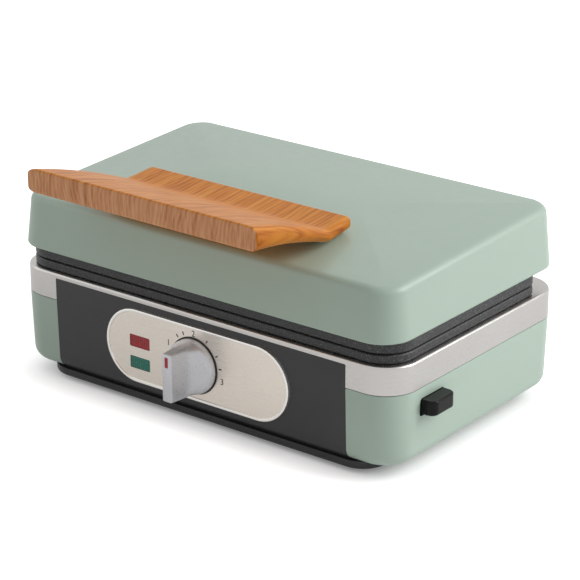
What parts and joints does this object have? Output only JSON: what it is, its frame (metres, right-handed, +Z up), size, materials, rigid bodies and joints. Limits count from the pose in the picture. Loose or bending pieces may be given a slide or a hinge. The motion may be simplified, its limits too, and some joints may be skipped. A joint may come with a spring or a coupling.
{
  "type": "sandwich and waffle maker",
  "caption": "Table-top sandwich and waffle maker: hinged lid with a wooden handle, latched waffle plates, thermostat knob and lamps in a mint and steel housing.",
  "frame": {"origin": "on the floor, under the middle of the machine's box with the lid shut", "axes": "+Z up, +X to the right seen from the front, front and handle towards -Y"},
  "size_m": [0.308, 0.23, 0.1584],
  "materials": {
    "mint": "satin lacquer",
    "steel": "brushed",
    "panel": "fine matt",
    "control_steel": "brushed with a bright rim",
    "red_lens": "tinted, gloss",
    "green_lens": "tinted, gloss",
    "lamp": "plain",
    "thermostat": "plain",
    "shaft": "turned",
    "knob": "satin silver",
    "pointer": "gloss",
    "tray": "fine grain",
    "feet": "matt",
    "screws": "zinc plated",
    "inlet": "matt",
    "terminal": "ceramic white",
    "coated_plate": "speckled non-stick coating",
    "element": "heat tinted",
    "reflector": "bright sheet",
    "latch_steel": "plain",
    "button": "gloss",
    "hinge": "black lacquer",
    "frame_sheet": "black heat-proof paint",
    "wood": "oiled, with straight grain"
  },
  "bodies": {
    "base": {"base_shell": "mint", "steel_trim": "steel", "front_panel": "panel", "control_plate": "control_steel", "power_lens": "red_lens", "ready_lens": "green_lens", "lamp_holders": "lamp", "thermostat_body": "thermostat", "bottom_tray": "tray", "rubber_feet": "feet", "bottom_screws": "screws", "cord_inlet": "inlet", "terminal_block": "terminal", "lower_plate": "coated_plate", "lower_element": "element", "lower_reflector": "reflector", "lower_element_clips": "latch_steel", "lower_latch_bracket": "latch_steel", "lower_latch_pin": "shaft", "lower_plate_keeper": "latch_steel", "hinge_brackets": "hinge", "hinge_pins": "shaft", "hinge_bracket_screws": "screws"},
    "control_knob": {"knob": "knob", "pointer_mark": "pointer", "thermostat_shaft": "shaft"},
    "lower_latch": {"lower_latch_lever": "latch_steel", "lower_latch_button": "button", "lower_latch_spring": "shaft"},
    "lid": {"lid_shell": "mint", "lid_frame": "frame_sheet", "lid_frame_screws": "screws", "handle": "wood", "handle_seat": "mint", "handle_screws": "screws", "upper_plate": "coated_plate", "upper_element": "element", "upper_reflector": "reflector", "upper_element_clips": "latch_steel", "upper_latch_bracket": "latch_steel", "upper_latch_pin": "shaft", "upper_plate_keeper": "latch_steel", "lid_hinge_arms": "hinge", "lid_arm_screws": "screws"},
    "upper_latch": {"upper_latch_lever": "latch_steel", "upper_latch_button": "button", "upper_latch_spring": "shaft"}
  },
  "joints": [
    {"name": "lid_hinge", "type": "hinge", "parent": "base", "child": "lid", "pos_m": [0, 0.109, 0.0795], "axis": [-1, 0, 0], "range_deg": [0, 100]},
    {"name": "knob_turn", "type": "hinge", "parent": "base", "child": "control_knob", "pos_m": [0, -0.08, 0.0402], "axis": [0, 1, 0], "range_deg": [-75, 105]},
    {"name": "lower_latch_press", "type": "hinge", "parent": "base", "child": "lower_latch", "pos_m": [0.1374, -0.031, 0.059], "axis": [0, 1, 0], "range_deg": [0, 8], "stiffness_Nm_per_rad": 0.5, "springref_deg": -2.86},
    {"name": "upper_latch_press", "type": "hinge", "parent": "lid", "child": "upper_latch", "pos_m": [-0.1374, -0.031, 0.1], "axis": [0, 1, 0], "range_deg": [0, 8], "stiffness_Nm_per_rad": 0.5, "springref_deg": -2.86}
  ]
}
